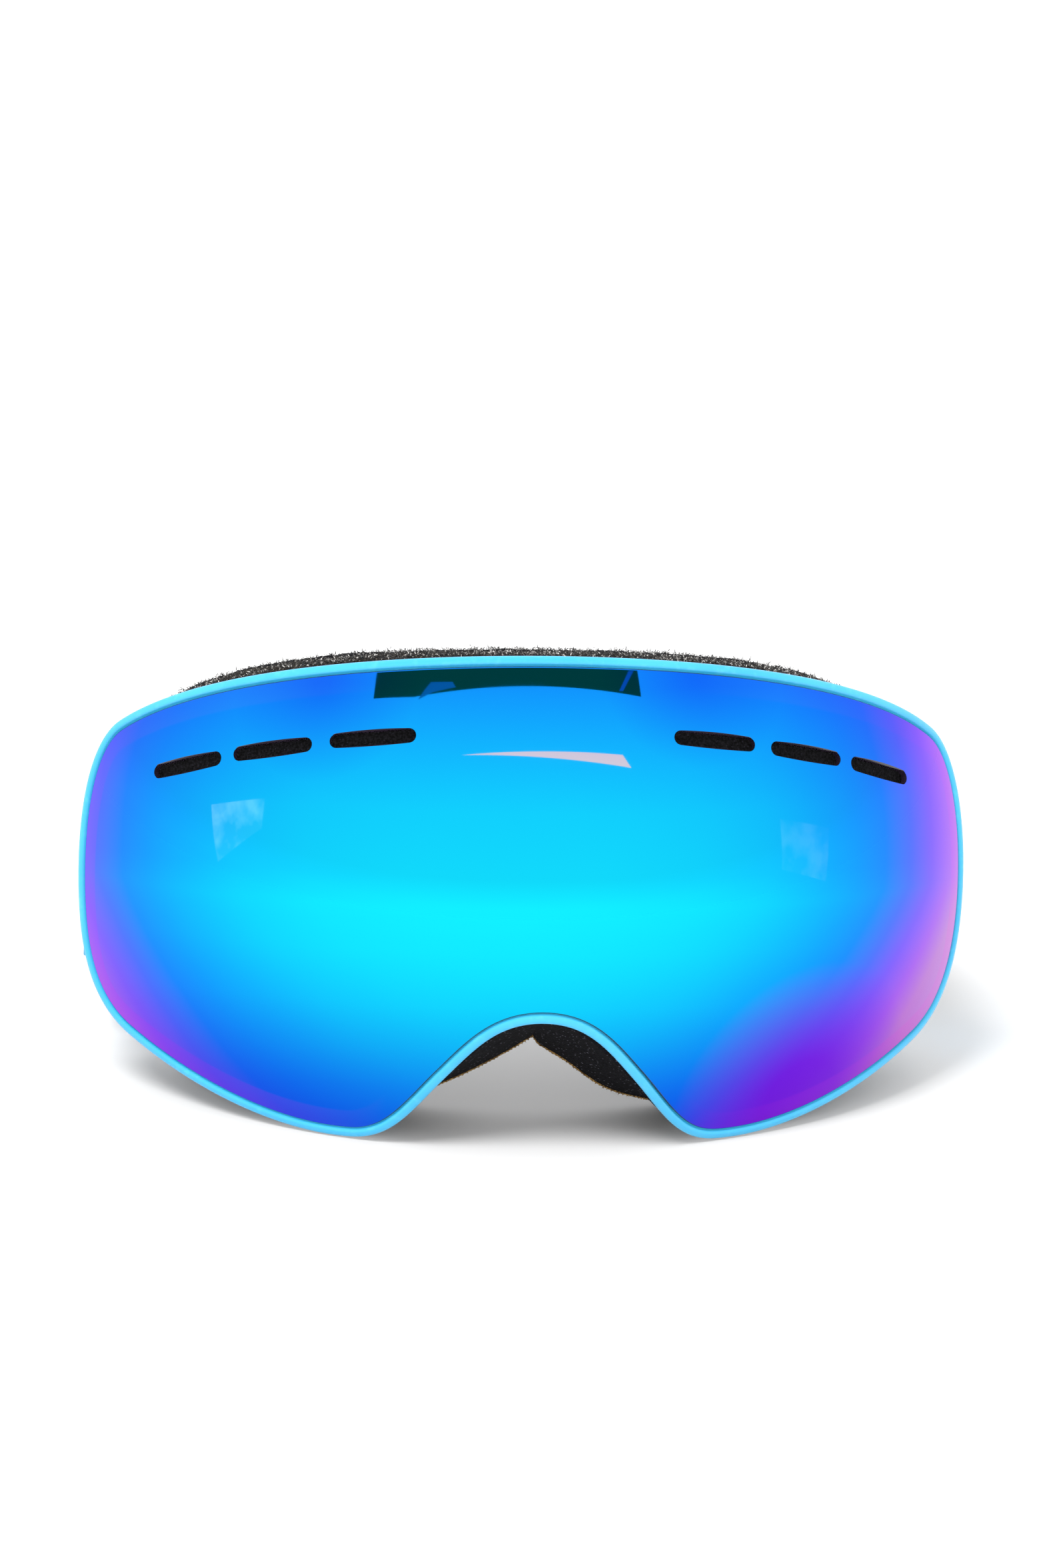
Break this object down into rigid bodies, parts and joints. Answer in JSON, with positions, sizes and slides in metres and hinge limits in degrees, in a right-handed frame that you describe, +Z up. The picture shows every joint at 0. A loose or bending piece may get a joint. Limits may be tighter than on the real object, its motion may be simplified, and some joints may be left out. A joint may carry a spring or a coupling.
{
  "type": "ski goggles",
  "caption": "Wide ski goggles: spherical mirrored lens on a soft frame with a nose arch, layered face foam, hinged outriggers, elastic strap with sliders.",
  "frame": {"origin": "centre of the overall box, on the plane that the goggles stand on", "axes": "+X to the wearer's left, -Y out of the front of the lens, +Z up; the goggles lean back by 10 degrees, standing on the two lower lobes of the rim with the strap loop closed behind"},
  "size_m": [0.1808, 0.1731, 0.0984],
  "materials": {
    "rim": "satin",
    "mirror_lens": "mirrored polycarbonate",
    "inner_lens": "clear smoke acetate",
    "coarse_foam": "open-cell foam",
    "fine_foam": "fine foam",
    "fleece": "brushed fleece",
    "vent_foam": "open-cell foam",
    "carrier": "satin",
    "gasket": "matt",
    "magnet": "nickel plate",
    "bracket": "satin",
    "pin": "brushed",
    "strap": "woven elastic",
    "buckle": "satin",
    "silicone": "satin"
  },
  "bodies": {
    "frame": {"frame": "rim", "top_vent_foam": "vent_foam", "bottom_vent_foam_left": "vent_foam", "bottom_vent_foam_right": "vent_foam", "frame_magnets": "magnet", "nose_foam": "fine_foam", "face_foam_base": "coarse_foam", "face_foam_pad": "fine_foam", "face_fleece": "fleece", "hinge_bracket_left": "bracket", "hinge_bracket_right": "bracket", "hinge_pin_left": "pin", "hinge_pin_right": "pin", "strap_rear": "strap", "strap_grip": "silicone"},
    "lens": {"outer_lens": "mirror_lens", "lens_vent_foam_left": "vent_foam", "lens_vent_foam_right": "vent_foam", "lens_carrier": "carrier", "lens_magnets": "magnet", "lens_gasket": "gasket", "inner_lens": "inner_lens"},
    "outrigger_left": {"outrigger_left": "rim", "strap_run_left": "strap", "strap_tail_left": "strap"},
    "outrigger_right": {"outrigger_right": "rim", "strap_run_right": "strap", "strap_tail_right": "strap"},
    "slider_left": {"slider_left": "buckle"},
    "slider_right": {"slider_right": "buckle"}
  },
  "joints": [
    {"name": "lens_release", "type": "slide", "parent": "frame", "child": "lens", "axis": [0, -0.9848, 0.1736], "range_m": [0, 0.03]},
    {"name": "outrigger_left_hinge", "type": "hinge", "parent": "frame", "child": "outrigger_left", "pos_m": [0.0853, -0.01998, 0.03693], "axis": [0, -0.1736, -0.9848], "range_deg": [0, 22]},
    {"name": "outrigger_right_hinge", "type": "hinge", "parent": "frame", "child": "outrigger_right", "pos_m": [-0.0853, -0.01998, 0.03693], "axis": [0, 0.1736, 0.9848], "range_deg": [0, 22]},
    {"name": "slider_left_slide", "type": "slide", "parent": "outrigger_left", "child": "slider_left", "axis": [0.1939, -0.9661, 0.1704], "range_m": [0, 0.02], "deforming": ["strap_tail_left"]},
    {"name": "slider_right_slide", "type": "slide", "parent": "outrigger_right", "child": "slider_right", "axis": [-0.1939, -0.9661, 0.1704], "range_m": [0, 0.02], "deforming": ["strap_tail_right"]}
  ]
}
